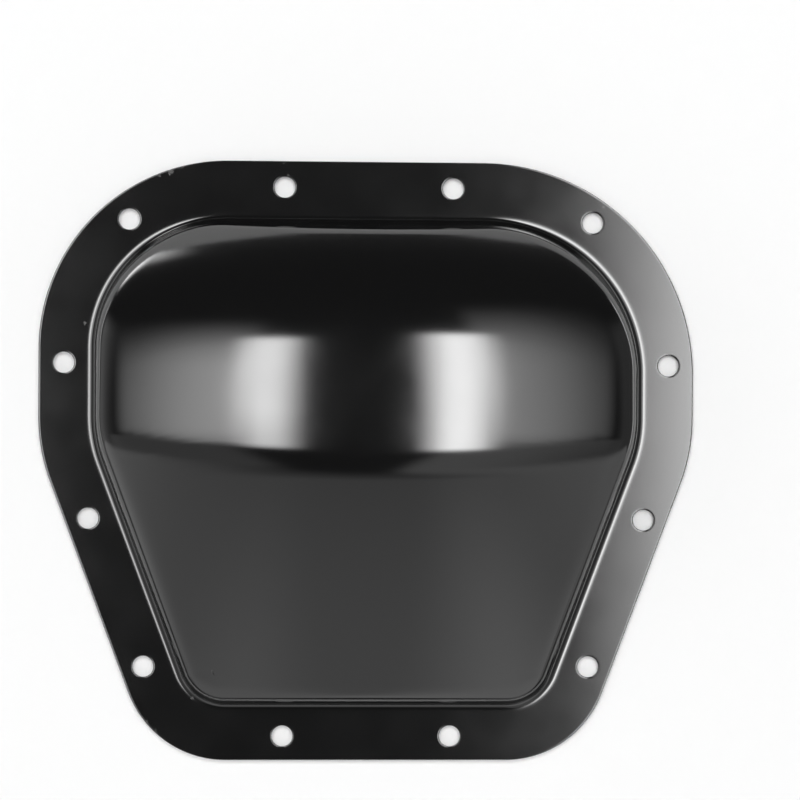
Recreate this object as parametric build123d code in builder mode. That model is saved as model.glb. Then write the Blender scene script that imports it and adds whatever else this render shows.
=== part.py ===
from build123d import *
import math
import os

os.makedirs("parts", exist_ok=True)

# Pressed steel differential cover, lying on its sealing face.
# +X runs along the axle, +Y to the barrel's side and +Z the way that the dome bulges.
# The origin is on the sealing face, in the middle of the flange.

# Flange outline: flat top, upright sides, sides that slope in to a flat bottom.
FLANGE_WIDTH = 326.6
FLANGE_HEIGHT = 299.0
BOTTOM_WIDTH = 211.4
SIDE_BEND_Y = 5.0
TOP_LEFT_ROUNDING = 0.3144  # share of the height that the corner's radius takes
TOP_RIGHT_ROUNDING = 0.3528
SIDE_BEND_RADIUS = 93.0
BOTTOM_RADIUS = 51.5

# Sheet, the radii that the press leaves on its roof, the flat that stands for the small
# bend at the wall's foot, and the eased cut edge.
SHEET = 3.0
FOOT_FLAT = 3.0
SHOULDER_RADIUS = 13.0
CREASE_RADIUS = 16.0
EDGE_EASE = 0.5

# Dome: a drafted wall that follows the flange outline at a fixed distance.
RIM = 28.3
DRAFT = 4.5

# Its roof: a crowned barrel about the axle line, cut off below by a ramp.
# A crown is how far the roof drops from its middle to the wall at the dome's widest place.
AXLE_Y = 18.0
DOME_HEIGHT = 68.0
TOP_WALL_HEIGHT = 22.0
BARREL_CROWN = 18.2
RAMP_TOP_Y = -2.0
RAMP_TOE_HEIGHT = 17.7
RAMP_CROWN = 20.3

# Bolt holes: how far in from the flange's edge they lie, and where along it.
HOLE_DIAMETER = 10.5
TOP_INSET = 13.0
TOP_LEFT_X = -41.6
TOP_RIGHT_X = 42.5
LEFT_CORNER_INSET = 12.8
LEFT_CORNER_ANGLE = 52.5
RIGHT_CORNER_INSET = 11.9
RIGHT_CORNER_ANGLE = 54.2
SIDE_INSET = 12.4
SIDE_ABOVE_BEND = 43.4
WAIST_INSET = 11.2
WAIST_BELOW_BEND = 34.1
LOW_CORNER_INSET = 11.3
LOW_CORNER_HEIGHT = 46.7
BOTTOM_INSET = 12.0
BOTTOM_X = 41.8

half_width = FLANGE_WIDTH / 2
half_height = FLANGE_HEIGHT / 2
top_left_radius = TOP_LEFT_ROUNDING * FLANGE_HEIGHT
top_right_radius = TOP_RIGHT_ROUNDING * FLANGE_HEIGHT


def outline(inset):
    """The flange outline as a wire, moved inwards by an inset that its corner radii keep up with."""
    corners = [
        (half_width, half_height),
        (half_width, SIDE_BEND_Y),
        (BOTTOM_WIDTH / 2, -half_height),
        (-BOTTOM_WIDTH / 2, -half_height),
        (-half_width, SIDE_BEND_Y),
        (-half_width, half_height),
    ]
    radii = [
        top_right_radius,
        SIDE_BEND_RADIUS,
        BOTTOM_RADIUS,
        BOTTOM_RADIUS,
        SIDE_BEND_RADIUS,
        top_left_radius,
    ]
    with BuildSketch() as sheet:
        with BuildLine():
            FilletPolyline(*corners, radius=radii, close=True)
        make_face()
        if inset:
            offset(amount=-inset, kind=Kind.INTERSECTION)
    return sheet.sketch


def corner_hole(side, radius, inset, angle):
    """The middle of a hole that lies round a top corner, at an angle up from its level."""
    turn = math.radians(angle)
    x = half_width - radius + (radius - inset) * math.cos(turn)
    y = half_height - radius + (radius - inset) * math.sin(turn)
    return side * x, y


def slant_holes(y, inset):
    """The middles of two holes at a height on the edges that slope in to the bottom."""
    slope = (half_width - BOTTOM_WIDTH / 2) / (half_height + SIDE_BEND_Y)
    x = half_width - slope * (SIDE_BEND_Y - y) - inset * math.hypot(1, slope)
    return [(-x, y), (x, y)]


holes = [
    (TOP_LEFT_X, half_height - TOP_INSET),
    (TOP_RIGHT_X, half_height - TOP_INSET),
    corner_hole(-1, top_left_radius, LEFT_CORNER_INSET, LEFT_CORNER_ANGLE),
    corner_hole(1, top_right_radius, RIGHT_CORNER_INSET, RIGHT_CORNER_ANGLE),
    (SIDE_INSET - half_width, SIDE_BEND_Y + SIDE_ABOVE_BEND),
    (half_width - SIDE_INSET, SIDE_BEND_Y + SIDE_ABOVE_BEND),
    *slant_holes(SIDE_BEND_Y - WAIST_BELOW_BEND, WAIST_INSET),
    *slant_holes(LOW_CORNER_HEIGHT - half_height, LOW_CORNER_INSET),
    (-BOTTOM_X, BOTTOM_INSET - half_height),
    (BOTTOM_X, BOTTOM_INSET - half_height),
]

# The barrel passes over the axle at the dome's height and meets the top wall at its own.
wall_y = half_height - RIM
fall = DOME_HEIGHT - TOP_WALL_HEIGHT
barrel_radius = ((wall_y - AXLE_Y) ** 2 + fall**2) / (2 * fall)
axle_z = DOME_HEIGHT - barrel_radius
crease_z = axle_z + math.sqrt(barrel_radius**2 - (RAMP_TOP_Y - AXLE_Y) ** 2)
ramp_angle = math.atan2(crease_z - RAMP_TOE_HEIGHT, RAMP_TOP_Y + wall_y)
reach = FLANGE_WIDTH * 0.6


def drop_at_reach(crown):
    """How far an arc has dropped at the reach when it drops by the crown at the wall."""
    wall_x = half_width - RIM
    radius = (wall_x**2 + crown**2) / (2 * crown)
    return radius - math.sqrt(radius**2 - reach**2)


def skin(depth):
    """The solid under the dome's outer skin, or under a skin that lies a depth further in."""
    draft = math.radians(DRAFT)
    slope = Vector(0, math.cos(ramp_angle), math.sin(ramp_angle))
    axle_plane = Plane(origin=(0, AXLE_Y, axle_z), x_dir=(1, 0, 0), z_dir=(0, -1, 0))
    ramp_plane = Plane(origin=(0, RAMP_TOP_Y, crease_z), x_dir=(1, 0, 0), z_dir=-slope)
    barrel = barrel_radius - depth
    barrel_edge = barrel - drop_at_reach(BARREL_CROWN)
    ramp_edge = -depth - drop_at_reach(RAMP_CROWN)
    with BuildPart() as form:
        # Barrel: a bowed line turned about the axle.
        with BuildSketch(axle_plane):
            with BuildLine():
                ThreePointArc((-reach, barrel_edge), (0, barrel), (reach, barrel_edge))
                Polyline((reach, barrel_edge), (reach, 0), (-reach, 0), (-reach, barrel_edge))
            make_face()
        revolve(axis=Axis((0, AXLE_Y, axle_z), (1, 0, 0)))
        # Below the crease nothing but the ramp bounds the roof.
        with Locations((0, RAMP_TOP_Y - 2 * CREASE_RADIUS, 0)):
            Box(2 * reach, FLANGE_HEIGHT, 2 * DOME_HEIGHT, align=(Align.CENTER, Align.MAX, Align.CENTER))
        with BuildSketch(ramp_plane):
            with BuildLine():
                ThreePointArc((-reach, ramp_edge), (0, -depth), (reach, ramp_edge))
                Polyline((reach, ramp_edge), (reach, -2 * reach), (-reach, -2 * reach), (-reach, ramp_edge))
            make_face()
        extrude(amount=FLANGE_HEIGHT, both=True, mode=Mode.INTERSECT)
        # Drafted wall.
        with BuildSketch():
            add(outline(RIM + depth / math.cos(draft)))
        extrude(amount=DOME_HEIGHT, taper=DRAFT, mode=Mode.INTERSECT)
        # Crease between barrel and ramp, then the shoulder all round the roof.
        crease = form.edges().sort_by_distance((0, RAMP_TOP_Y, crease_z - depth))[0]
        fillet(crease, CREASE_RADIUS - depth)
        roof = form.faces().filter_by(lambda face: face.normal_at().Z > math.sin(2 * draft)).edges()
        shoulder = ShapeList(e for e in roof if sum(e.is_same(f) for f in roof) == 1)
        # Inside, a flat as wide as the sheet keeps the bend as thick as the rest.
        if depth:
            chamfer(shoulder, depth)
        else:
            fillet(shoulder, SHOULDER_RADIUS)
    return form.part


with BuildPart() as cover:
    with BuildSketch():
        add(outline(0))
    extrude(amount=SHEET)
    chamfer(cover.faces().sort_by(Axis.Z)[-1].edges(), EDGE_EASE)
    add(skin(0))
    add(skin(SHEET), mode=Mode.SUBTRACT)
    # A flat at the wall's foot outside, and the same round the mouth inside.
    level = cover.faces().filter_by(Axis.Z).sort_by(Axis.Z)
    foot = level[-1].inner_wires()[0].edges()
    mouth = level[0].inner_wires()[0].edges()
    chamfer(foot, FOOT_FLAT)
    chamfer(mouth, FOOT_FLAT)
    with Locations(*[(x, y, 0) for x, y in holes]):
        Hole(HOLE_DIAMETER / 2)

cover.part.label = "cover"
export_step(cover.part, "parts/cover.step")
print("cover:", len(cover.solids()), "solid of", round(cover.part.volume), "mm3")
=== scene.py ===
# %% [markdown]
# # A pressed steel differential cover
#
# The cover closes the back of a drive axle. It is one sheet of steel, pressed into a
# flat flange with twelve bolt holes, a steep wall, and a roof that is a crowned barrel
# above and a sloping ramp below. It is painted satin black.
#
# On black paint nearly all that the eye sees is reflection. A reflection shows the
# slope of a surface, so each bend needs its true radius and enough points. The cover is
# therefore made here as a fine surface of its own, worked out from the same sizes as
# the solid that the frame holds, and it stands for that solid.

import math

import bmesh
import bpy
import numpy as np
from mathutils import Matrix


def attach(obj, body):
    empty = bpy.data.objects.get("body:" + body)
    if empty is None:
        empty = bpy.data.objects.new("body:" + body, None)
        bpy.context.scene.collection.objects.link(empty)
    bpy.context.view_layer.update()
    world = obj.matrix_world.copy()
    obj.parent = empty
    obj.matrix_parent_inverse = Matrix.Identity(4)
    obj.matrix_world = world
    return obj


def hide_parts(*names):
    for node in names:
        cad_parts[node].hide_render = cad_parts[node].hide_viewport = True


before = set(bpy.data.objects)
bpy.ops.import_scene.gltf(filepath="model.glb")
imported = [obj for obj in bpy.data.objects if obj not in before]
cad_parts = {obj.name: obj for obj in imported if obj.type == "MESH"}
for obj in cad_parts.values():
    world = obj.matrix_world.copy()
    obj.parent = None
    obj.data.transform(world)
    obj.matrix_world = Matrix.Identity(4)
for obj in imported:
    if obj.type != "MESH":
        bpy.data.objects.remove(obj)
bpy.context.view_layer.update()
print("nodes in the frame:", sorted(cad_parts))

# %% [markdown]
# ## Sizes
#
# The sizes are the solid's own, in millimetres, with +X along the axle, +Y to the
# barrel's side and +Z out of the sealing face. One factor turns them into metres at the
# end. A surface that repeats the sizes of a solid has to repeat them exactly, so they
# are listed once, here.

# %% Sizes
MM = 0.001

FLANGE_WIDTH = 326.6
FLANGE_HEIGHT = 299.0
BOTTOM_WIDTH = 211.4
SIDE_BEND_Y = 5.0
TOP_LEFT_ROUNDING = 0.3144
TOP_RIGHT_ROUNDING = 0.3528
SIDE_BEND_RADIUS = 93.0
BOTTOM_RADIUS = 51.5

SHEET = 3.0
EDGE_EASE = 0.5
RIM = 28.3
AXLE_Y = 18.0
DOME_HEIGHT = 68.0
TOP_WALL_HEIGHT = 22.0
BARREL_CROWN = 18.2
RAMP_TOP_Y = -2.0
RAMP_TOE_HEIGHT = 17.7
RAMP_CROWN = 20.3

HOLE_RADIUS = 5.25
HOLES = (
    (-41.6, 136.5), (42.5, 136.5), (-118.73, 119.92), (112.56, 119.92),
    (-150.9, 48.4), (150.9, 48.4), (-138.63, -29.1), (138.63, -29.1),
    (-111.05, -102.8), (111.05, -102.8), (-41.8, -137.5), (41.8, -137.5),
)
print("flange", FLANGE_WIDTH, "by", FLANGE_HEIGHT, "mm, dome", DOME_HEIGHT, "mm high")

# %% [markdown]
# ## The line round the flange
#
# Everything on the cover follows one closed line: the flange's edge. It could be drawn
# as a Blender curve, but a curve gives no say over where its points fall, and here the
# points have to fall on both sides of each bolt hole. So the line is a function: for a
# length along the line it gives a place and the direction that points outwards. A line
# further in is the same places, moved back along that direction.

# %% The flange line as a function of its length
half_width = FLANGE_WIDTH / 2
half_height = FLANGE_HEIGHT / 2

# Corners in the order of travel, anticlockwise from the lower right one.
CORNERS = np.array([
    (BOTTOM_WIDTH / 2, -half_height),
    (half_width, SIDE_BEND_Y),
    (half_width, half_height),
    (-half_width, half_height),
    (-half_width, SIDE_BEND_Y),
    (-BOTTOM_WIDTH / 2, -half_height),
])
RADII = np.array([
    BOTTOM_RADIUS, SIDE_BEND_RADIUS, TOP_RIGHT_ROUNDING * FLANGE_HEIGHT,
    TOP_LEFT_ROUNDING * FLANGE_HEIGHT, SIDE_BEND_RADIUS, BOTTOM_RADIUS,
])


def rounded_corners(corners, radii):
    """For each corner: the arc's centre, its first direction, its turn and its start.

    The turn is the angle between the runs before and after the corner. The arc starts
    radius times tan(turn / 2) before the corner, and its centre lies one radius to the
    left of the run, because the line travels anticlockwise.
    """
    run = np.roll(corners, -1, axis=0) - corners
    heading = np.arctan2(run[:, 1], run[:, 0])
    before = np.roll(heading, 1)
    turn = (heading - before) % (2 * math.pi)
    along = np.stack([np.cos(before), np.sin(before)], 1)
    left = np.stack([-np.sin(before), np.cos(before)], 1)
    start = corners - along * (radii * np.tan(turn / 2))[:, None]
    return start + left * radii[:, None], before, turn, start


arc_centre, arc_heading, arc_turn, arc_start = rounded_corners(CORNERS, RADII)
arc_length = RADII * arc_turn
arc_end = arc_centre + RADII[:, None] * np.stack(
    [np.sin(arc_heading + arc_turn), -np.cos(arc_heading + arc_turn)], 1)
run_length = np.linalg.norm(np.roll(arc_start, -1, axis=0) - arc_end, axis=1)
piece_length = np.stack([arc_length, run_length], 1).ravel()
piece_start = np.concatenate([[0.0], np.cumsum(piece_length)])
LINE_LENGTH = piece_start[-1]


def flange_line(length):
    """Places and outward directions on the flange's edge, at lengths along it.

    Each corner is an arc, place = centre - radius times the left direction, whose
    heading grows by length / radius. Each run goes straight on from its arc's end.
    """
    length = np.asarray(length, float) % LINE_LENGTH
    piece = np.searchsorted(piece_start, length, side="right") - 1
    corner = piece // 2
    on_arc = piece % 2 == 0
    beyond = length - piece_start[piece]
    heading = arc_heading[corner] + np.where(
        on_arc, beyond / RADII[corner], arc_turn[corner])
    outward = np.stack([np.sin(heading), -np.cos(heading)], -1)
    along = np.stack([np.cos(heading), np.sin(heading)], -1)
    place = arc_centre[corner] + outward * RADII[corner][..., None]
    place = place + along * np.where(on_arc, 0.0, beyond)[..., None]
    return place, outward


print("the flange's edge is", round(LINE_LENGTH, 1), "mm long")

# %% [markdown]
# ## Stations round the flange
#
# The surface is a net of rows, which follow the flange's edge, and columns, which run
# inwards. A round hole in such a net needs a square cell to sit in, so the columns are
# set out between fixed stations: the two sides of each hole's cell, and the four
# corners where the roof's own net will start.

# %% Stations
CELL_HALF = 9.0     # half the length of the edge that a hole's cell takes
CELL_STEPS = 14     # columns across a cell
STEP = 3.6          # distance between columns elsewhere
CLEAR_OF_CELL = 2.0  # a quarter keeps this far from a cell, or moves to its end
LENGTHS_TRIED = 40000


def length_nearest(x, y):
    """The length along the flange's edge at the foot of the shortest line to (x, y)."""
    lengths = np.linspace(0, LINE_LENGTH, LENGTHS_TRIED + 1)[:-1]
    place, _ = flange_line(lengths)
    return lengths[np.argmin(np.hypot(place[:, 0] - x, place[:, 1] - y))]


hole_lengths = np.sort([length_nearest(x, y) for x, y in HOLES])
hole_order = np.argsort([length_nearest(x, y) for x, y in HOLES])
quarter_lengths = piece_start[[0, 4, 6, 10]] + arc_length[[0, 2, 3, 5]] / 2


def set_out_columns():
    """Lengths of the columns, the first column of each hole cell, and the quarters.

    Between two stations the columns are evenly spaced, about STEP apart, and a hole's
    cell always has CELL_STEPS of them. The roof's net needs four sides with equal
    numbers of columns on opposite sides, so the counts of the widest gaps are raised
    until they agree.
    """
    cells = [(c - CELL_HALF, c + CELL_HALF) for c in hole_lengths]
    quarters = []
    for quarter in quarter_lengths:
        inside = [c for c in cells
                  if c[0] - CLEAR_OF_CELL < quarter < c[1] + CLEAR_OF_CELL]
        quarters.append(inside[0][1] if inside else quarter)
    stations = sorted(set([s for c in cells for s in c] + quarters))
    stations.append(stations[0] + LINE_LENGTH)
    firsts = {c[0] for c in cells}
    steps = [CELL_STEPS if a in firsts else max(2, round((b - a) / STEP))
             for a, b in zip(stations, stations[1:])]
    side = np.searchsorted(sorted(quarters), np.array(stations[:-1]) + 1e-6, "right") % 4
    totals = [sum(n for n, s in zip(steps, side) if s == k) for k in range(4)]
    for k in range(4):
        short = max(totals[k], totals[(k + 2) % 4]) - totals[k]
        free = [i for i, s in enumerate(side) if s == k and stations[i] not in firsts]
        for extra in range(short):
            widest = max(free, key=lambda i: (stations[i + 1] - stations[i]) / steps[i])
            steps[widest] += 1
    lengths = np.concatenate([np.linspace(a, b, n, endpoint=False)
                              for a, b, n in zip(stations, stations[1:], steps)])
    starts = np.concatenate([[0], np.cumsum(steps)])[:-1]
    index_of = dict(zip(stations, starts))
    return lengths, [index_of[c[0]] for c in cells], [index_of[q] for q in sorted(quarters)]


column_lengths, cell_starts, quarter_columns = set_out_columns()
edge_place, edge_out = flange_line(column_lengths)
COLUMNS = len(column_lengths)
print(COLUMNS, "columns, cells start at", cell_starts)
print("the roof's own net starts at", quarter_columns)


def columns_between(first, last):
    """Numbers of the columns from one to another, going on past the last to zero."""
    beyond = COLUMNS if last < first else 0
    return np.arange(first, last + 1 + beyond) % COLUMNS

# %% [markdown]
# ## The roof
#
# The roof is the height of two forms blended at a crease. The barrel is a bowed line
# turned about the axle. The ramp is a bowed line pulled down a slope. Both can be asked
# for at a depth under the outer skin, which gives the inner skin of a sheet of even
# thickness, and also the line along which a ball would roll to make the shoulder.
#
# The crease is softer here than in the solid, and the crowns are highest a little to +X
# of the middle. Both come from where the reflections lie and how softly they end.

# %% Roof height
CREASE_RADIUS = 50.0
CREASE_REACH = 32.0  # beyond this distance from the crease, nothing is blended
CROWN_MIDDLE = 5.0
SLOPE_STEP = 0.05    # half the length over which a slope is measured

wall_x = half_width - RIM
wall_y = half_height - RIM
fall = DOME_HEIGHT - TOP_WALL_HEIGHT
barrel_radius = ((wall_y - AXLE_Y) ** 2 + fall**2) / (2 * fall)
axle_z = DOME_HEIGHT - barrel_radius
crease_z = axle_z + math.sqrt(barrel_radius**2 - (RAMP_TOP_Y - AXLE_Y) ** 2)
ramp_slope = (crease_z - RAMP_TOE_HEIGHT) / (RAMP_TOP_Y + wall_y)
ramp_stretch = math.hypot(1, ramp_slope)
barrel_slope = (AXLE_Y - RAMP_TOP_Y) / (crease_z - axle_z)


def bow(x, crown, depth):
    """How far a bowed line has dropped at x, for the skin at a depth.

    The outer line is an arc that drops by the crown at the wall, so its radius is
    (wall squared + crown squared) / (2 crown). A line a depth further in has a radius
    smaller by the depth, and stays equally far from the outer one all along.
    """
    radius = (wall_x**2 + crown**2) / (2 * crown) - depth
    return radius - np.sqrt(radius**2 - (x - CROWN_MIDDLE) ** 2)


def roof_height(x, y, depth):
    """The height of the roof's skin over (x, y), a depth under the outer skin.

    Barrel: axle height + square root of (bowed radius - depth) squared - (y - axle)
    squared. Ramp: a plane through the crease, less (depth + bow) stretched by the
    slope. Near the crease both give way to a parabola of the crease's radius.
    """
    radius = barrel_radius - depth - bow(x, BARREL_CROWN, depth)
    barrel = axle_z + np.sqrt(np.maximum(radius**2 - (y - AXLE_Y) ** 2, 1.0))
    ramp = crease_z + ramp_slope * (y - RAMP_TOP_Y)
    ramp = ramp - (depth + bow(x, RAMP_CROWN, depth)) * ramp_stretch
    width = (ramp_slope - barrel_slope) ** 2 * (CREASE_RADIUS - depth) / 2
    gap = np.maximum(width - np.abs(barrel - ramp), 0.0)
    blend = np.minimum(barrel, ramp) - gap**2 / (4 * width)
    blend = np.where(y > RAMP_TOP_Y + CREASE_REACH, barrel, blend)
    return np.where(y < RAMP_TOP_Y - CREASE_REACH, ramp, blend)


def roof_normal(x, y, depth):
    """The roof's upward direction: (-slope in x, -slope in y, 1), made one unit long.

    A slope is the difference of two heights, a step to each side, over the distance.
    """
    h = SLOPE_STEP
    slope_x = (roof_height(x + h, y, depth) - roof_height(x - h, y, depth)) / (2 * h)
    slope_y = (roof_height(x, y + h, depth) - roof_height(x, y - h, depth)) / (2 * h)
    up = np.stack([-slope_x, -slope_y, np.ones_like(slope_x)], -1)
    return up / np.linalg.norm(up, axis=-1, keepdims=True)


print("roof heights at the middle:", np.round(roof_height(
    np.zeros(5), np.array([-120.0, -60.0, RAMP_TOP_Y, AXLE_Y, 100.0]), 0.0), 2))

# %% [markdown]
# ## Wall, foot and shoulder
#
# The wall leans in by its draft as it rises. A press doesn't leave true arcs: where the
# sheet leaves the roof it bends slowly at first, and it bends tightest near the wall.
# Black paint shows that, because a reflection fades out over a slow bend and breaks off
# at an arc. The shoulder is therefore a Bezier curve. It leaves the roof where a large
# ball would touch it, and it meets the wall where a smaller ball would.
#
# Where the press drew the sheet over the barrel's end, the wall leans more. At the low
# toe the shoulder is tighter. So draft and balls depend on which way the wall faces.
#
# At its foot the sheet doesn't break from flat to bent either. It lifts slowly, then
# bends round its radius, so the foot is a line whose curvature grows from nothing.

# %% Draft and balls round the cover
# Each is the value at the sides, then what is added at the top and at the bottom.
DRAFT = (5.0, 9.0, 0.0)
ROOF_BALL = (24.0, -10.0, -9.0)
WALL_BALL = (6.5, 0.5, 0.5)

facing_top = np.clip(edge_out[:, 1], 0, 1) ** 2
facing_bottom = np.clip(-edge_out[:, 1], 0, 1) ** 2


def round_the_cover(side, top, bottom):
    """One value for each column: side + facing top times top + facing bottom times bottom.

    How much a wall faces the top is its outward direction's y, squared.
    """
    return side + top * facing_top + bottom * facing_bottom


draft = np.radians(round_the_cover(*DRAFT))
roof_ball = round_the_cover(*ROOF_BALL)
wall_ball = round_the_cover(*WALL_BALL)
print("draft", np.round(np.degrees([draft.min(), draft.max()]), 1), "degrees, roof ball",
      np.round([roof_ball.min(), roof_ball.max()], 1), "mm")

# %% The foot's line
FOOT_RADIUS = 3.4
FOOT_LEAD = 4.6
FOOT_STEPS = 18
FINE_STEPS = 800    # steps of the sum, from which the rows are chosen
ROW_SPREAD = 0.8    # under 1, rows lie closer together towards the wall


def foot_line():
    """Insets, heights and tilts of the foot's outer line, a row for each step.

    Curvature = (distance / lead) to the third power / radius over the lead, then
    1 / radius. The tilt is its sum, and the place is the sum of the tilt's cosine and
    sine. The line ends at the wall's tilt, and is moved to end on the wall.
    """
    lead_tilt = FOOT_LEAD / FOOT_RADIUS / 4
    end_tilt = math.pi / 2 - draft
    length = FOOT_LEAD + (end_tilt - lead_tilt) * FOOT_RADIUS
    fine = np.linspace(0, 1, FINE_STEPS + 1)[:, None] * length
    in_lead = np.minimum(fine, FOOT_LEAD)
    tilt = (in_lead / FOOT_LEAD) ** 4 * lead_tilt + (fine - in_lead) / FOOT_RADIUS
    step = np.diff(fine, axis=0)
    middle_tilt = (tilt[1:] + tilt[:-1]) / 2
    along = np.vstack([np.zeros(COLUMNS), np.cumsum(np.cos(middle_tilt) * step, axis=0)])
    rise = np.vstack([np.zeros(COLUMNS), np.cumsum(np.sin(middle_tilt) * step, axis=0)])
    inset = along - along[-1] + RIM + (SHEET + rise[-1]) * np.tan(draft)
    share = np.linspace(0, 1, FOOT_STEPS + 1)
    chosen = np.rint(share ** ROW_SPREAD * FINE_STEPS).astype(int)
    return inset[chosen], SHEET + rise[chosen], tilt[chosen]


foot_inset, foot_height, foot_tilt = foot_line()
foot = np.dstack([edge_place - edge_out * foot_inset[..., None], foot_height])
print("the foot starts", round(float(foot_inset[0].min()), 1), "mm in")

# %% A ball that rolls between wall and roof
LOWEST_BALL = -15.0
HALVINGS = 50

wall_out = np.column_stack([edge_out * np.cos(draft)[:, None], np.sin(draft)])
wall_up = np.column_stack([-edge_out * np.sin(draft)[:, None], np.cos(draft)])


def offset(inset):
    """Places in plan that lie an inset (one for each column) in from the edge."""
    return edge_place - edge_out * np.asarray(inset)[..., None]


def ball_touches(radius):
    """Where a ball that rolls inside the corner touches the wall and the roof.

    Its middle lies on the wall moved in by the radius and on the roof moved down by
    the radius. Halving an interval of heights finds where the two meet. It touches at
    middle + radius times the wall's direction, and the same with the roof's.
    """
    low = np.full(COLUMNS, LOWEST_BALL)
    high = np.full(COLUMNS, DOME_HEIGHT)
    for halving in range(HALVINGS):
        height = (low + high) / 2
        plan = offset(RIM + radius / np.cos(draft) + height * np.tan(draft))
        under = roof_height(plan[:, 0], plan[:, 1], radius) > height
        low = np.where(under, height, low)
        high = np.where(under, high, height)
    middle = np.column_stack([plan, height])
    roof_out = roof_normal(plan[:, 0], plan[:, 1], radius)
    return middle + wall_out * radius[:, None], middle + roof_out * radius[:, None]


# %% The shoulder and the whole outer skin
WALL_STEPS = 6
SHOULDER_STEPS = 26
WALL_HANDLE = 0.9   # shares of the way from each end to the corner
ROOF_HANDLE = 0.66


def shoulder_line():
    """Rows of the shoulder's outer skin, the directions it runs in, and its last normals.

    The wall's line and the roof's tangent plane meet at a corner. A Bezier curve goes
    from the wall's touch to the roof's. Its handles lie a share of the way to that
    corner, the wall's nearer to it, so that the curve bends most beside the wall. The
    touch on the roof is set back on the roof's own height, which a blend at a depth
    misses by a hair.
    """
    start, _ = ball_touches(wall_ball)
    _, end = ball_touches(roof_ball)
    end[:, 2] = roof_height(end[:, 0], end[:, 1], 0.0)
    roof_out = roof_normal(end[:, 0], end[:, 1], 0.0)
    reach = ((end - start) * roof_out).sum(1) / (wall_up * roof_out).sum(1)
    corner = start + wall_up * reach[:, None]
    first = start + WALL_HANDLE * (corner - start)
    second = end + ROOF_HANDLE * (corner - end)
    t = np.linspace(0, 1, SHOULDER_STEPS + 1)[:, None, None]
    places = ((1 - t) ** 3 * start + 3 * t * (1 - t) ** 2 * first
              + 3 * t**2 * (1 - t) * second + t**3 * end)
    runs = ((1 - t) ** 2 * (first - start) + 2 * t * (1 - t) * (second - first)
            + t**2 * (end - second))
    return places, runs, roof_out


shoulder, shoulder_run, roof_out = shoulder_line()
share = np.linspace(0, 1, WALL_STEPS + 1)[1:-1, None, None]
wall = foot[-1] * (1 - share) + shoulder[0] * share
outer_rows = np.concatenate([foot, wall, shoulder])
lean = (shoulder[0] - foot[-1])[:, 2]
print(len(outer_rows), "rows, the straight wall is",
      np.round([lean.min(), lean.max()], 1), "mm high")

# %% [markdown]
# The inner skin lies one sheet under the outer one, along its normals. On the foot and
# the wall these follow from the tilt. On the shoulder they are the cross product of the
# direction round the cover and the direction up the curve.

# %% The inner skin
foot_out = np.dstack([edge_out * np.sin(foot_tilt)[..., None], np.cos(foot_tilt)])
round_run = np.roll(shoulder, -1, axis=1) - np.roll(shoulder, 1, axis=1)
shoulder_out = np.cross(round_run, shoulder_run)
shoulder_out /= np.linalg.norm(shoulder_out, axis=-1, keepdims=True)
shoulder_out[0], shoulder_out[-1] = wall_out, roof_out
wall_rows_out = np.tile(wall_out, (len(wall), 1, 1))
outwards = np.concatenate([foot_out, wall_rows_out, shoulder_out])
inner_rows = outer_rows - SHEET * outwards
outer_step = np.linalg.norm(np.diff(shoulder, axis=0), axis=-1)
bend = np.arccos((shoulder_out[1:] * shoulder_out[:-1]).sum(-1).clip(-1, 1))
print("the shoulder's tightest bend has a radius of", round(float(
    (outer_step / np.maximum(bend, 1e-6)).min()), 1), "mm")

# %% [markdown]
# ## The roof's own net
#
# Rings that shrink to a point would crowd the roof's middle, and a glossy surface shows
# such a pole. A net of four sides has none. Each point is the sum of two blends, one
# between each pair of facing sides, less the blend of the four corners, which both of
# them count. The heights then come from the roof itself.

# %% Fill the roof
def four_sided_net(edge):
    """A net inside a closed row of points, from its four quarters.

    With u and v from 0 to 1: point = (1 - v) bottom(u) + v top(u) + (1 - u) left(v)
    + u right(v) - the four corners weighted by (1 - u)(1 - v), u(1 - v), uv and
    (1 - u)v. Only places in plan are blended.
    """
    a, b, c, d = quarter_columns
    right, top = edge[columns_between(a, b)], edge[columns_between(b, c)][::-1]
    left, bottom = edge[columns_between(c, d)][::-1], edge[columns_between(d, a)]
    u = np.linspace(0, 1, len(bottom))[None, :, None]
    v = np.linspace(0, 1, len(right))[:, None, None]
    blend = ((1 - v) * bottom[None] + v * top[None]
             + (1 - u) * left[:, None] + u * right[:, None])
    corners = ((1 - u) * (1 - v) * bottom[0] + u * (1 - v) * bottom[-1]
               + u * v * top[-1] + (1 - u) * v * top[0])
    return blend - corners


def roof_net(edge, depth):
    """The net over the roof at a depth, with heights from the roof's own formula."""
    net = four_sided_net(edge)
    net[1:-1, 1:-1, 2] = roof_height(net[1:-1, 1:-1, 0], net[1:-1, 1:-1, 1], depth)
    return net


outer_roof = roof_net(outer_rows[-1], 0.0)
inner_roof = roof_net(inner_rows[-1], SHEET)
print("roof net of", outer_roof.shape[0], "by", outer_roof.shape[1], "points")

# %% [markdown]
# ## The flange and its holes
#
# The flange is flat, so its net may be uneven, but the edges of the sheet and of the
# holes are rounded over by the press and the paint, and that small radius catches the
# light. Each edge gets a row of its own and a row close beside it, so the smooth
# shading of the round doesn't spread over the flat.

# %% Collect points and faces
points = []
faces = []


def add_points(array):
    """Put an array of points into the mesh and give back the numbers they got."""
    first = sum(len(p) for p in points)
    flat = np.asarray(array, float).reshape(-1, 3)
    points.append(flat)
    return np.arange(first, first + len(flat)).reshape(np.shape(array)[:-1])


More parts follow.
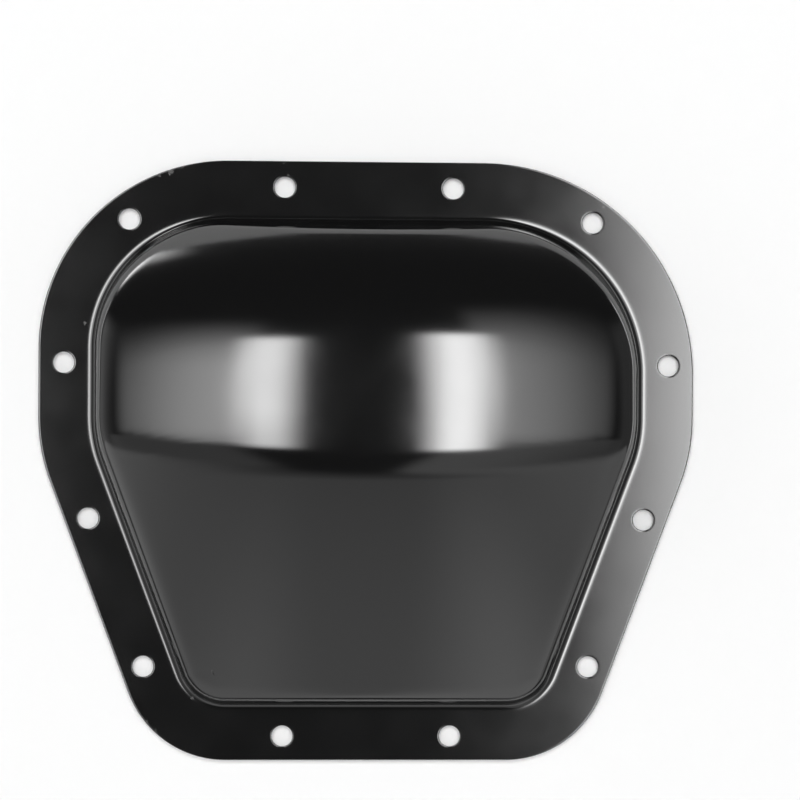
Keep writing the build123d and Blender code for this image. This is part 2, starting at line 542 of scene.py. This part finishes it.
def add_quads(numbers, closed=False, flip=False, skip=None):
    """Faces between neighbours in a grid of point numbers, facing as flip says."""
    if closed:
        numbers = np.hstack([numbers, numbers[:, :1]])
    quads = np.stack([
        numbers[:-1, :-1], numbers[:-1, 1:], numbers[1:, 1:], numbers[1:, :-1]], -1)
    if skip is not None:
        quads = quads[~skip]
    quads = quads.reshape(-1, 4)
    faces.append(quads[:, ::-1] if flip else quads)


# %% Rows of the flange and rings round its holes
CELL_INSETS = (2.8, 20.2)
OUTER_INSET = 1.7   # one row between the edge and the cells
SUPPORT = 0.35      # distance from a round to the row close beside it
ROUND_STEPS = 4
RING_SHARES = (0.4, 0.75, 1.0)
round_angles = np.linspace(0, math.pi / 2, ROUND_STEPS + 1)


def flange_rows(height):
    """Rows of one face of the flange, from the rounded edge inwards.

    The first row lies where the round ends, at one ease from the edge.
    """
    insets = np.concatenate([
        [EDGE_EASE, EDGE_EASE + SUPPORT, OUTER_INSET],
        np.linspace(*CELL_INSETS, CELL_STEPS + 1),
    ])
    return [np.hstack([offset(np.full(COLUMNS, inset)), np.full((COLUMNS, 1), height)])
            for inset in insets]


def hole_rings(number, height, facing, cell):
    """Rings from a cell's border to the round of its hole, on one face of the flange.

    Each ring point lies on the line from the hole's middle to a border point, so the
    rings never cross.
    """
    x, y = HOLES[number]
    middle = np.array([x, y, height])
    towards = cell - middle
    distance = np.linalg.norm(towards, axis=1, keepdims=True)
    direction = towards / distance
    rim = HOLE_RADIUS + EDGE_EASE
    rings = [cell * (1 - share) + (middle + direction * (rim + SUPPORT)) * share
             for share in RING_SHARES]
    for angle in round_angles:
        radius = rim - EDGE_EASE * math.sin(angle)
        drop = EDGE_EASE * (1 - math.cos(angle)) * facing
        rings.append(middle + direction * radius - np.array([0, 0, drop]))
    return rings


# %% Build both faces
FIRST_CELL_ROW = 3


def build_face(height, facing, skin, roof):
    """One side of the cover: flange with holes, foot, wall, shoulder and roof.

    facing is 1 for the outside and -1 for the sealing side, whose faces are flipped.
    Gives back the numbers of the edge row and of each hole's last ring.
    """
    flip = facing < 0
    rows = np.concatenate([flange_rows(height), skin])
    numbers = add_points(rows)
    skip = np.zeros((len(rows) - 1, COLUMNS), bool)
    cell_rows = slice(FIRST_CELL_ROW, FIRST_CELL_ROW + CELL_STEPS)
    for start in cell_starts:
        skip[cell_rows, (start + np.arange(CELL_STEPS)) % COLUMNS] = True
    add_quads(numbers, closed=True, flip=flip, skip=skip)
    last_rings = []
    for order, start in enumerate(cell_starts):
        across = (start + np.arange(CELL_STEPS + 1)) % COLUMNS
        block = numbers[FIRST_CELL_ROW:FIRST_CELL_ROW + CELL_STEPS + 1][:, across]
        border = np.concatenate([
            block[0, :-1], block[:-1, -1], block[-1, :0:-1], block[:0:-1, 0]])
        cell = np.concatenate(points)[border]
        rings = hole_rings(hole_order[order], height, facing, cell)
        ring_numbers = np.vstack([border[None], add_points(np.array(rings))])
        add_quads(ring_numbers, closed=True, flip=flip)
        last_rings.append(ring_numbers[-1])
    last = numbers[-1]
    a, b, c, d = quarter_columns
    net_numbers = np.full(roof.shape[:2], -1)
    net_numbers[1:-1, 1:-1] = add_points(roof[1:-1, 1:-1])
    net_numbers[:, -1] = last[columns_between(a, b)]
    net_numbers[-1, :] = last[columns_between(b, c)][::-1]
    net_numbers[:, 0] = last[columns_between(c, d)][::-1]
    net_numbers[0, :] = last[columns_between(d, a)]
    add_quads(net_numbers, flip=flip)
    return numbers[0], last_rings


outer_edge, outer_holes = build_face(SHEET, 1, outer_rows, outer_roof)
inner_edge, inner_holes = build_face(0.0, -1, inner_rows, inner_roof)
print(sum(len(f) for f in faces), "faces so far")

# %% Join the two faces along the flange's edge and through the holes
def rounded_edge():
    """Rows down the cut edge, from the upper face's first row to the lower one's.

    A quarter round of the ease's radius, the straight cut, and another quarter round.
    """
    rows = []
    for angle in round_angles[1:]:
        inset = EDGE_EASE * (1 - math.sin(angle))
        height = SHEET - EDGE_EASE * (1 - math.cos(angle))
        rows.append((inset, height))
    mirrored = [(inset, SHEET - height) for inset, height in rows[::-1]]
    return [np.hstack([offset(np.full(COLUMNS, inset)), np.full((COLUMNS, 1), height)])
            for inset, height in rows + mirrored]


edge_numbers = add_points(np.array(rounded_edge()))
add_quads(np.vstack([outer_edge[None], edge_numbers, inner_edge[None]]), closed=True)
for upper, lower in zip(outer_holes, inner_holes):
    add_quads(np.vstack([upper[None], lower[None]]), closed=True)
print(sum(len(f) for f in faces), "faces in all")

# %% [markdown]
# ## The mesh
#
# The arrays go into the mesh in one step each, which is far quicker than a loop over
# points. Each part was added on its own, so points on shared lines can be doubled: they
# are merged, and then every face is turned outwards. A sheet with no open edge and a
# volume near the solid's is closed and the right way out.

# %% The mesh
MERGE_DISTANCE = 1e-6  # metres


def make_mesh(name, places, quads):
    """A smooth mesh from arrays of places in metres and of four-cornered faces."""
    mesh = bpy.data.meshes.new(name)
    mesh.vertices.add(len(places))
    mesh.vertices.foreach_set("co", places.astype(np.float32).ravel())
    mesh.loops.add(quads.size)
    mesh.loops.foreach_set("vertex_index", quads.astype(np.int32).ravel())
    mesh.polygons.add(len(quads))
    mesh.polygons.foreach_set("loop_start", np.arange(0, quads.size, 4, dtype=np.int32))
    mesh.polygons.foreach_set("use_smooth", np.ones(len(quads), bool))
    mesh.update(calc_edges=True)
    mesh.validate()
    made = bpy.data.objects.new(name, mesh)
    bpy.context.scene.collection.objects.link(made)
    return made


def point_outwards(piece):
    """Merge doubled points and turn every face to the outside of the closed sheet."""
    work = bmesh.new()
    work.from_mesh(piece.data)
    bmesh.ops.remove_doubles(work, verts=work.verts, dist=MERGE_DISTANCE)
    bmesh.ops.recalc_face_normals(work, faces=work.faces)
    open_edges = sum(1 for edge in work.edges if len(edge.link_faces) != 2)
    volume = work.calc_volume(signed=True)
    work.to_mesh(piece.data)
    work.free()
    return open_edges, volume


pressed_cover = make_mesh(
    "pressed_cover", np.concatenate(points) * MM, np.concatenate(faces))
open_edges, volume = point_outwards(pressed_cover)
print("open edges:", open_edges, "- steel:", round(volume * 1e9), "cubic mm -",
      2 * len(pressed_cover.data.polygons), "triangles")

# %% [markdown]
# ## Paint
#
# The cover has a satin black paint over bare pressed steel. The paint is nearly black,
# so its look is all in the gloss. One roughness all over looks like plastic. Sprayed
# paint has a fine grain, which breaks up the edges of each reflection, and places that
# were rubbed a little duller or shinier. Both come from noise on the Object coordinates,
# in metres, so they keep their real scale. A few chips are marks at listed places, with
# outlines made ragged by noise of their own.

# %% Helpers for nodes
def math_node(tree, operation, *values):
    """A Math node whose inputs are numbers or other nodes' outputs. Gives its output."""
    node = tree.nodes.new("ShaderNodeMath")
    node.operation = operation
    for socket, value in zip(node.inputs, values):
        if isinstance(value, (int, float)):
            socket.default_value = value
        else:
            tree.links.new(value, socket)
    return node.outputs["Value"]


def growth_node(tree, value, start, end):
    """Smooth growth from 0 at start to 1 at end: 3 t squared - 2 t cubed."""
    node = tree.nodes.new("ShaderNodeMapRange")
    node.interpolation_type = "SMOOTHSTEP"
    node.inputs["From Min"].default_value = start
    node.inputs["From Max"].default_value = end
    tree.links.new(value, node.inputs["Value"])
    return node.outputs["Result"]


# %% Noise and chips
# Middle and radius of each chip, in millimetres.
CHIPS = (
    (-98.5, 143.6, 1.3), (-104.0, 141.4, 0.8), (-93.0, 145.8, 0.7), (-42.0, 148.4, 0.6),
    (-39.6, 142.3, 0.7), (-140.6, 68.0, 0.7), (-86.5, -118.6, 0.9), (-109.0, -130.4, 0.8),
    (-104.5, -134.8, 0.6), (118.0, 128.0, 0.6),
)
CHIP_RAGGED = 2.4         # how far noise moves a chip's border
CHIP_BORDER = (1.3, 0.9)  # where a chip starts and is full, past its radius


def noise_node(tree, vector, scale, detail):
    """Noise on a vector, at a number of grains per metre. Gives its output."""
    node = tree.nodes.new("ShaderNodeTexNoise")
    node.inputs["Scale"].default_value = scale
    node.inputs["Detail"].default_value = detail
    tree.links.new(vector, node.inputs["Vector"])
    return node.outputs["Fac"]


def chip_mask(tree, vector, grain):
    """1 inside each chip and 0 outside: growth as the distance falls to its radius.

    Distance = length of (place - chip) + grain times how ragged the border is.
    """
    mask = None
    start, full = CHIP_BORDER
    for x, y, radius in CHIPS:
        away = tree.nodes.new("ShaderNodeVectorMath")
        away.operation = "DISTANCE"
        tree.links.new(vector, away.inputs[0])
        away.inputs[1].default_value = (x * MM, y * MM, SHEET * MM)
        ragged = math_node(
            tree, "MULTIPLY_ADD", grain, CHIP_RAGGED * MM, away.outputs["Value"])
        one = growth_node(tree, ragged, (radius + start) * MM, (radius + full) * MM)
        mask = one if mask is None else math_node(tree, "MAXIMUM", mask, one)
    return mask


print(len(CHIPS), "chips")

# %% Satin black paint
PAINT = (0.0035, 0.0035, 0.0036, 1)
WORN_STEEL = (0.016, 0.0155, 0.015, 1)
FINE_GRAIN, CHIP_GRAIN, SLOW_GRAIN = 900.0, 700.0, 45.0  # grains per metre
ROUGHNESS, ROUGHNESS_CHANGE, CHIP_ROUGHNESS = 0.075, 0.05, 0.12
IOR, SPECULAR_LEVEL = 1.52, 0.98
BUMP_STRENGTH, BUMP_HEIGHT = 0.12, 0.02
CHIP_DEPTH = 1.5          # in heights of the grain


def satin_black():
    """Satin black paint: grain as a bump, slow gloss changes, and a few chips.

    Roughness = least roughness + change times slow noise + more in a chip. Height =
    fine noise - depth of a chip.
    """
    paint = bpy.data.materials.new("satin_black_paint")
    paint.use_nodes = True
    tree = paint.node_tree
    shader = tree.nodes["Principled BSDF"]
    shader.inputs["IOR"].default_value = IOR
    shader.inputs["Specular IOR Level"].default_value = SPECULAR_LEVEL
    place = tree.nodes.new("ShaderNodeTexCoord").outputs["Object"]
    grain = noise_node(tree, place, FINE_GRAIN, 3.0)
    slow = noise_node(tree, place, SLOW_GRAIN, 2.0)
    chips = chip_mask(tree, place, noise_node(tree, place, CHIP_GRAIN, 2.0))
    colour = tree.nodes.new("ShaderNodeMix")
    colour.data_type = "RGBA"
    colour.inputs["A"].default_value = PAINT
    colour.inputs["B"].default_value = WORN_STEEL
    tree.links.new(chips, colour.inputs["Factor"])
    tree.links.new(colour.outputs["Result"], shader.inputs["Base Color"])
    rough = math_node(tree, "MULTIPLY_ADD", slow, ROUGHNESS_CHANGE, ROUGHNESS)
    rough = math_node(tree, "MULTIPLY_ADD", chips, CHIP_ROUGHNESS, rough)
    tree.links.new(rough, shader.inputs["Roughness"])
    bump = tree.nodes.new("ShaderNodeBump")
    bump.inputs["Strength"].default_value = BUMP_STRENGTH
    bump.inputs["Distance"].default_value = BUMP_HEIGHT * MM
    height = math_node(tree, "MULTIPLY_ADD", chips, -CHIP_DEPTH, grain)
    tree.links.new(height, bump.inputs["Height"])
    tree.links.new(bump.outputs["Normal"], shader.inputs["Normal"])
    return paint


black_paint = satin_black()
pressed_cover.data.materials.append(black_paint)
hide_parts("cover")
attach(pressed_cover, "root")
print("paint:", black_paint.name, "of", len(black_paint.node_tree.nodes), "nodes")

# %% [markdown]
# ## Floor
#
# The cover lies flat on a white floor. The floor is wide, because the steepest parts of
# the roof mirror it far out, and matt, so it shows the cover's shadow and no lamps.

# %% Floor
FLOOR_SIZE = 12.0
FLOOR_DROP = 0.0002
FLOOR_COLOUR = (0.95, 0.95, 0.95, 1)


def white_floor():
    """A wide, flat, matt white floor, just under the sealing face."""
    half = FLOOR_SIZE / 2
    corners = [(-half, -half), (half, -half), (half, half), (-half, half)]
    mesh = bpy.data.meshes.new("floor")
    mesh.from_pydata([(x, y, -FLOOR_DROP) for x, y in corners], [], [(0, 1, 2, 3)])
    floor = bpy.data.objects.new("floor", mesh)
    bpy.context.scene.collection.objects.link(floor)
    colour = bpy.data.materials.new("white_floor")
    colour.use_nodes = True
    shader = colour.node_tree.nodes["Principled BSDF"]
    shader.inputs["Base Color"].default_value = FLOOR_COLOUR
    shader.inputs["Roughness"].default_value = 1.0
    shader.inputs["Specular IOR Level"].default_value = 0.0
    floor.data.materials.append(colour)
    return floor


floor = white_floor()
print("floor", FLOOR_SIZE, "m wide,", FLOOR_DROP, "m under the cover")

# %% [markdown]
# ## Lamps
#
# What lights black paint is what it mirrors, so each lamp is placed by the direction in
# which the surface mirrors it. Two tall bright strips overhead make the two light bars on
# the barrel. A wide dim wing beside each fades out towards the cover's side. Low panels
# in front light the ramp, and narrow cards near the floor draw the lines along the foot
# and the shoulder. The sides of real soft boxes fade out. An area lamp's light can follow
# nodes, so each panel here fades over a stated angle at each side.

# %% Lamps
LAMP_DISTANCE = 7.0
LAMP_LEVEL = 0.86   # brings the floor's light to the level at which white is white


def panel(name, azimuths, elevations, radiance, fades, flare=0.0):
    """A flat lamp that covers a range of azimuths and of elevations, with soft sides.

    Angles are in degrees from straight up: azimuth leans to +X, elevation to +Y. The
    fades say over how many degrees the light grows from each side: -X, +X, -Y, +Y. The
    flare moves the light sideways by that many degrees times (share of the height)
    squared. Power = level times radiance times area times pi.
    """
    low, high = azimuths[0] + min(flare, 0), azimuths[1] + max(flare, 0)
    bottom, top = elevations
    width, height = math.radians(high - low), math.radians(top - bottom)
    a, e = math.radians((low + high) / 2), math.radians((bottom + top) / 2)
    lamp = bpy.data.lights.new(name, "AREA")
    lamp.shape = "RECTANGLE"
    lamp.size = 2 * LAMP_DISTANCE * math.tan(width / 2)
    lamp.size_y = 2 * LAMP_DISTANCE * math.tan(height / 2)
    lamp.energy = LAMP_LEVEL * radiance * lamp.size * lamp.size_y * math.pi
    lamp.use_nodes = True
    tree = lamp.node_tree
    split = tree.nodes.new("ShaderNodeSeparateXYZ")
    place = tree.nodes.new("ShaderNodeNewGeometry")
    tree.links.new(place.outputs["Parametric"], split.inputs["Vector"])
    across, up = split.outputs[0], split.outputs[1]
    lean = math_node(tree, "MULTIPLY", math_node(tree, "MULTIPLY", up, up), flare)
    across = math_node(tree, "MULTIPLY_ADD", across, high - low, low)
    across = math_node(tree, "SUBTRACT", across, lean)
    up = math_node(tree, "MULTIPLY_ADD", up, top - bottom, bottom)
    growth = math_node(
        tree, "MULTIPLY",
        math_node(tree, "MULTIPLY",
                  growth_node(tree, across, azimuths[0], azimuths[0] + fades[0]),
                  growth_node(tree, across, azimuths[1], azimuths[1] - fades[1])),
        math_node(tree, "MULTIPLY",
                  growth_node(tree, up, bottom, bottom + fades[2]),
                  growth_node(tree, up, top, top - fades[3])))
    tree.links.new(growth, tree.nodes["Emission"].inputs["Strength"])
    direction = np.array([
        math.sin(a) * math.cos(e), math.sin(e), math.cos(a) * math.cos(e)])
    x_axis = np.array([math.cos(a), 0, -math.sin(a)])
    y_axis = np.cross(direction, x_axis)
    holder = bpy.data.objects.new(name, lamp)
    turned = Matrix(np.column_stack([x_axis, y_axis, direction]).tolist()).to_4x4()
    holder.matrix_world = Matrix.Translation((direction * LAMP_DISTANCE).tolist()) @ turned
    bpy.context.scene.collection.objects.link(holder)
    return holder


panel("strip_left", (-20.0, -8.0), (-15, 38.2), 7.6, (5.6, 5.4, 8, 3), flare=-2.0)
panel("strip_left_upper", (-20.0, -8.0), (-8, 38.2), 2.6, (5.6, 5.4, 17, 3), flare=-2.0)
panel("strip_right", (4.2, 17.7), (-16, 40.4), 12.2, (6.0, 6.4, 7, 3.5), flare=1.7)
panel("wing_left", (-39.4, -15.2), (-14, 46.2), 3.3, (19, 3, 14, 24), flare=-4.5)
panel("wing_right", (13.2, 36.4), (-14, 54.2), 2.2, (3, 19, 14, 30), flare=4.5)
panel("low_left", (-50, -16), (-42, -8), 0.33, (10, 6, 8, 5))
panel("low_right", (7, 52), (-44, -8), 0.62, (4, 38, 6, 5))
panel("front", (-60, 60), (-80, -36), 0.6, (5, 5, 5, 14))
panel("front_left", (-60, -20), (-80, -44), 0.3, (5, 14, 5, 6))
panel("front_right", (16, 60), (-80, -43), 0.5, (16, 5, 5, 6))
panel("card_corner", (-90, -80), (50, 73), 13.0, (1, 8, 10, 10))
panel("card_left", (-90, -83), (-40, 50), 3.4, (1, 5, 30, 12))
panel("card_right", (82, 90), (-40, 54), 4.6, (5, 1, 30, 12))
panel("side_left", (-82, -34), (-48, 46), 0.8, (8, 40, 14, 14))
panel("side_right", (34, 84), (-48, 48), 0.2, (14, 4, 14, 14))
print(len(bpy.data.lights), "lamps")

# %% [markdown]
# ## The studio round the lamps
#
# Between the lamps the paint mirrors the room. A single grey would leave the barrel's
# top and its steep end equally dark, so the world is a little lighter near the floor.

# %% Dim studio walls
WALL_GLOW = 0.08
CEILING_GLOW = 0.035
GLOW_FALL = 10.0    # the larger, the nearer to the floor the glow stays


def dim_studio():
    """The world: dim overhead, and lighter where the walls meet the floor.

    Strength = ceiling + glow times (1 - height of the direction) to the power of the
    fall, where the direction is one unit long.
    """
    world = bpy.data.worlds.new("studio")
    bpy.context.scene.world = world
    world.use_nodes = True
    tree = world.node_tree
    place = tree.nodes.new("ShaderNodeTexCoord")
    split = tree.nodes.new("ShaderNodeSeparateXYZ")
    tree.links.new(place.outputs["Generated"], split.inputs["Vector"])
    height = math_node(tree, "ABSOLUTE", split.outputs["Z"])
    below = math_node(tree, "SUBTRACT", 1.0, height)
    fallen = math_node(tree, "POWER", below, GLOW_FALL)
    glow = math_node(tree, "MULTIPLY", fallen, WALL_GLOW)
    strength = math_node(tree, "ADD", glow, CEILING_GLOW)
    background = tree.nodes["Background"]
    background.inputs["Color"].default_value = (1, 1, 1, 1)
    tree.links.new(strength, background.inputs["Strength"])


dim_studio()
print("the world glows", CEILING_GLOW, "overhead and", WALL_GLOW + CEILING_GLOW, "low down")

# %% [markdown]
# ## Camera
#
# The camera is a metre and a half up and looks almost straight down. Two things are easy
# to miss. The places of the twelve holes show that it leans and turns by a degree or
# three. The cover also lies to the left of the lens's middle, which a lens shift gives.

# %% Camera
CAMERA_HEIGHT = 1.5
YAW, ROLL = -2.986, 0.274           # degrees
SENSOR_WIDTH, LENS = 36.0, 134.59   # millimetres
PICTURE = 800                       # pixels
LENS_MIDDLE = (523.1, 461.7)        # the pixel that the lens's axis goes through
camera_data = bpy.data.cameras.new("camera")
camera_data.sensor_width = SENSOR_WIDTH
camera_data.lens = LENS
camera_data.shift_x = (PICTURE / 2 - LENS_MIDDLE[0]) / PICTURE
camera_data.shift_y = (LENS_MIDDLE[1] - PICTURE / 2) / PICTURE
camera = bpy.data.objects.new("camera", camera_data)
turn = (Matrix.Rotation(math.radians(YAW), 4, "Y")
        @ Matrix.Rotation(math.radians(ROLL), 4, "Z"))
camera.matrix_world = Matrix.Translation((0, 0, CAMERA_HEIGHT)) @ turn
bpy.context.scene.collection.objects.link(camera)
bpy.context.scene.camera = camera
bpy.context.scene.view_settings.view_transform = "Standard"
print("camera", CAMERA_HEIGHT, "m up with a lens of", LENS, "mm")

# %% [markdown]
# ## Finish
#

# %% Finish
print("done")
